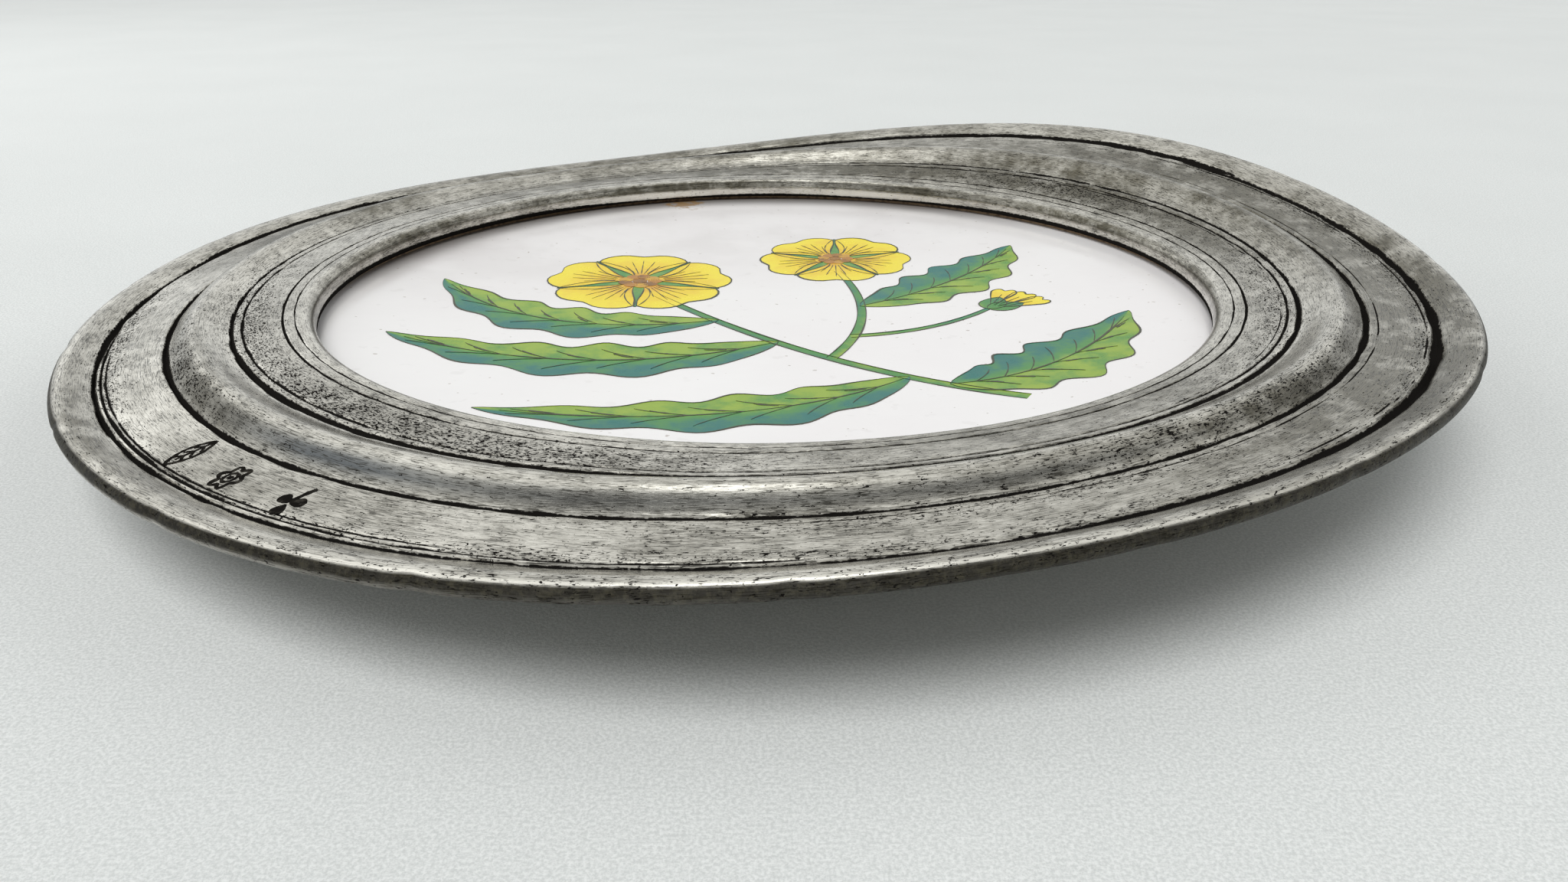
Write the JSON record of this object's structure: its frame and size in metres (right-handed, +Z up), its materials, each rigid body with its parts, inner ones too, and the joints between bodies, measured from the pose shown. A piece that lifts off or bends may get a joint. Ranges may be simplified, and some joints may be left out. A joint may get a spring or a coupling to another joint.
{
  "type": "decorative wall plate",
  "caption": "Round wall plate: a painted, glazed ceramic dish set in a wide moulded pewter rim, held by a soldered back ring and hung from a hinged wire ring.",
  "frame": {"origin": "centre of the foot ring's resting face, on the table", "axes": "+Z up out of the painted face, +Y towards the side that is the top when it hangs on a wall"},
  "size_m": [0.24, 0.24, 0.0288],
  "materials": {
    "pewter": "aged cast pewter, turned and worn, dark in the grooves",
    "glazed_ceramic": "glossy off-white glaze",
    "cork": "thin pressed cork",
    "solder": "smooth solder bead",
    "brass": "dulled brass"
  },
  "bodies": {
    "plate": {"rim": "pewter", "ceramic_dish": "glazed_ceramic", "front_bedding": "cork", "rear_bedding": "cork", "retaining_ring": "pewter", "solder_tacks": "solder", "hanger_strap": "brass", "strap_solder": "solder"},
    "hanger": {"hanger_ring": "brass"}
  },
  "joints": [
    {"name": "hanger_swing", "type": "hinge", "parent": "plate", "child": "hanger", "pos_m": [0, 0.08975, 0.00445], "axis": [1, 0, 0], "range_deg": [-166, 68]}
  ]
}
